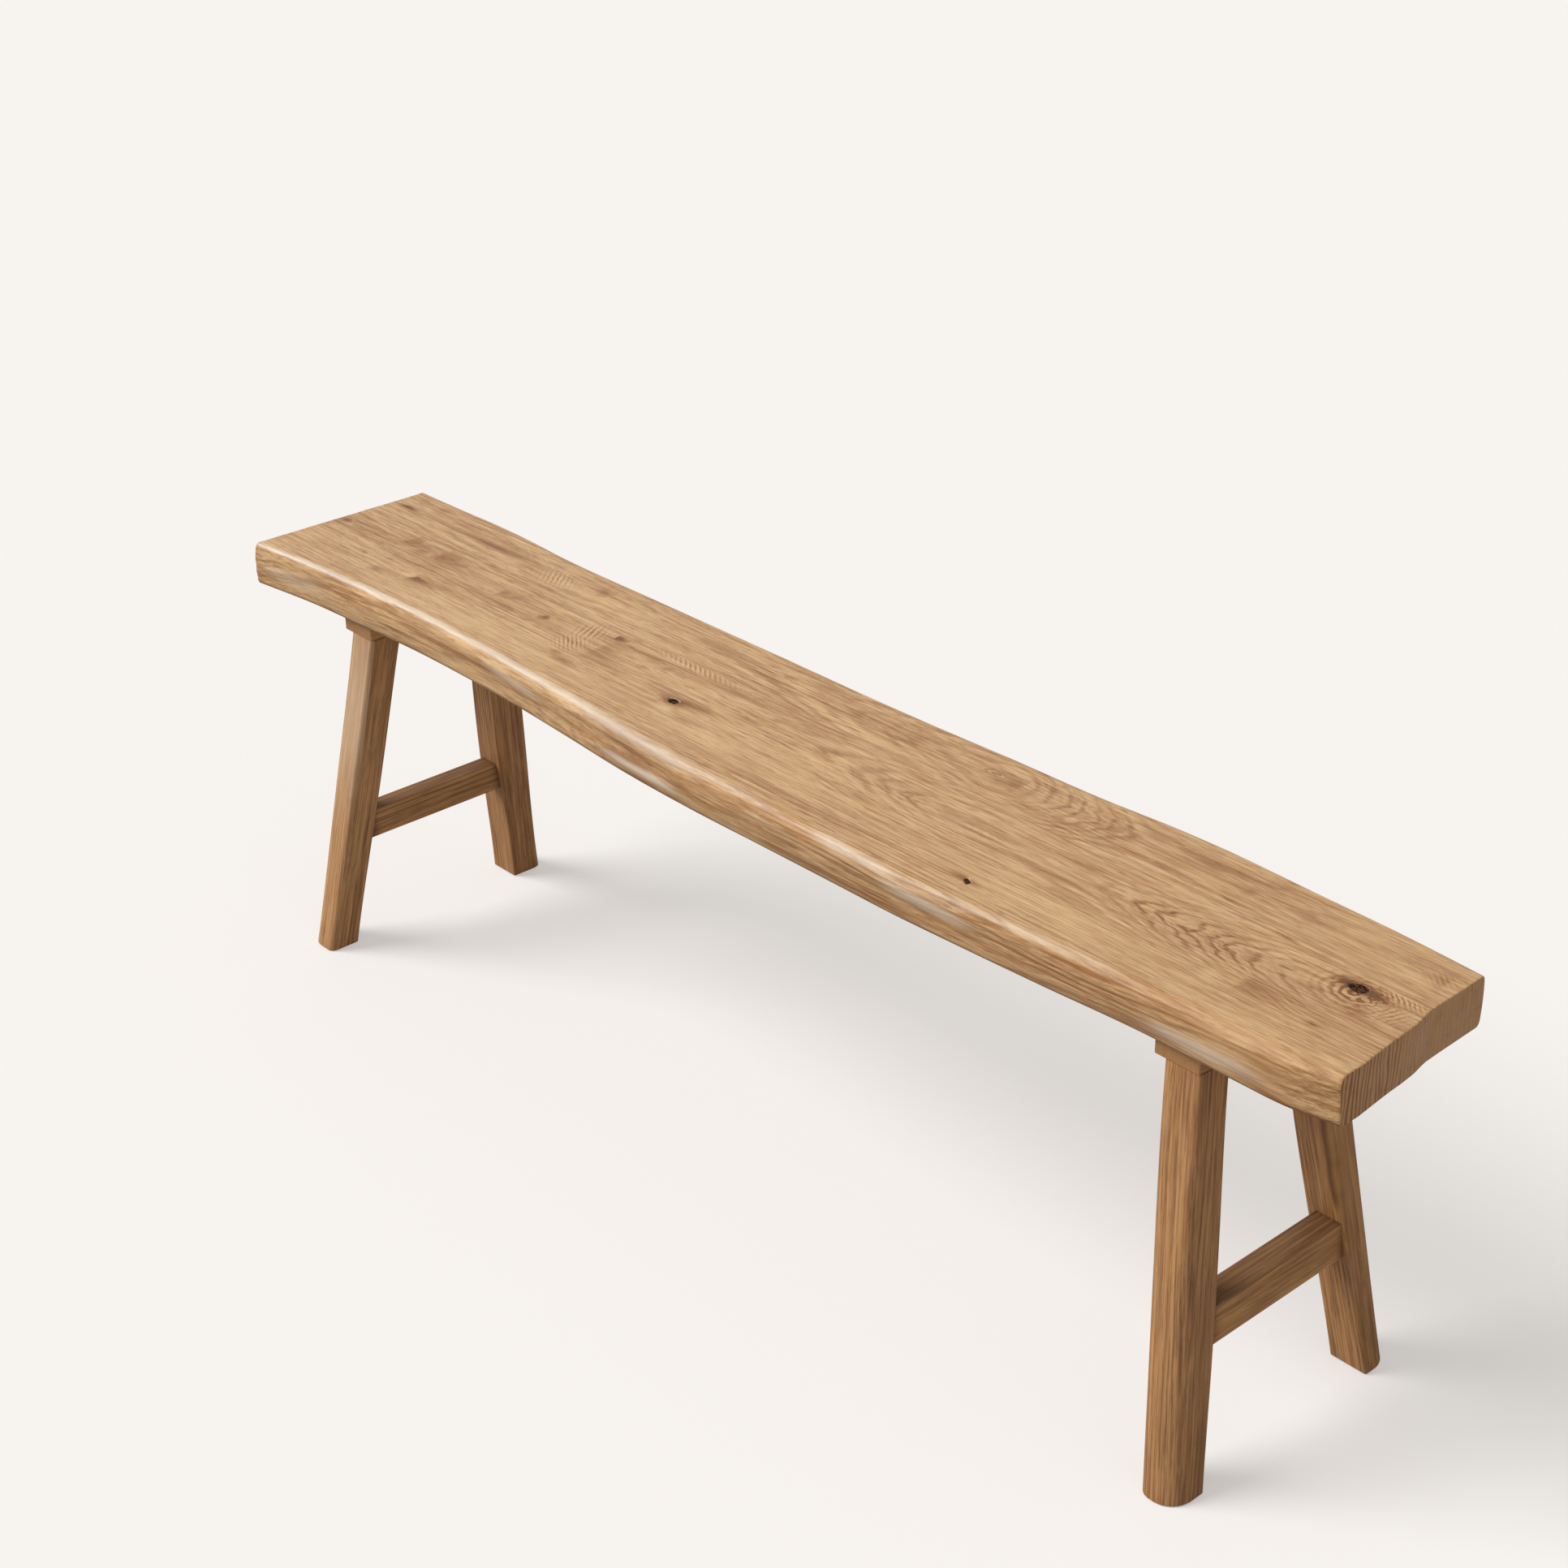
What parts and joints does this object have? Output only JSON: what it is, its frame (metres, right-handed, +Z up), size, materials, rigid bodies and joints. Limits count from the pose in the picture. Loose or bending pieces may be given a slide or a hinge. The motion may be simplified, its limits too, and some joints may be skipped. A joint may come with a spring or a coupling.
{
  "type": "live edge bench",
  "caption": "Rustic live edge bench: a long oak seat of glued boards with a natural front edge, on splayed wooden end frames of legs, battens and low stretchers.",
  "frame": {"origin": "on the floor, in the middle of the bench", "axes": "+X along the seat to the end with the black knot, +Y from the natural front edge to the back, +Z up"},
  "size_m": [1.47, 0.3001, 0.45],
  "materials": {
    "seat_wood": "oiled oak with brown grain, satin",
    "frame_wood": "oiled oak with brown grain, satin, a little darker than the seat",
    "hidden_wood": "plain pale hardwood, unfinished",
    "knot_filling": "dark brown knot filler, sanded flush and oiled over",
    "screw_steel": "plain zinc-plated steel"
  },
  "bodies": {
    "root": {"seat_front_board": "seat_wood", "seat_back_board": "seat_wood", "knot_filler_large": "knot_filling", "knot_filler_middle": "knot_filling", "knot_filler_small": "knot_filling", "seat_joint_dowels": "hidden_wood", "batten_left": "frame_wood", "batten_right": "frame_wood", "batten_screws_left": "screw_steel", "batten_screws_right": "screw_steel", "leg_front_left": "frame_wood", "leg_front_right": "frame_wood", "leg_back_left": "frame_wood", "leg_back_right": "frame_wood", "leg_wedges_left": "hidden_wood", "leg_wedges_right": "hidden_wood", "stretcher_left": "frame_wood", "stretcher_right": "frame_wood"}
  },
  "joints": []
}
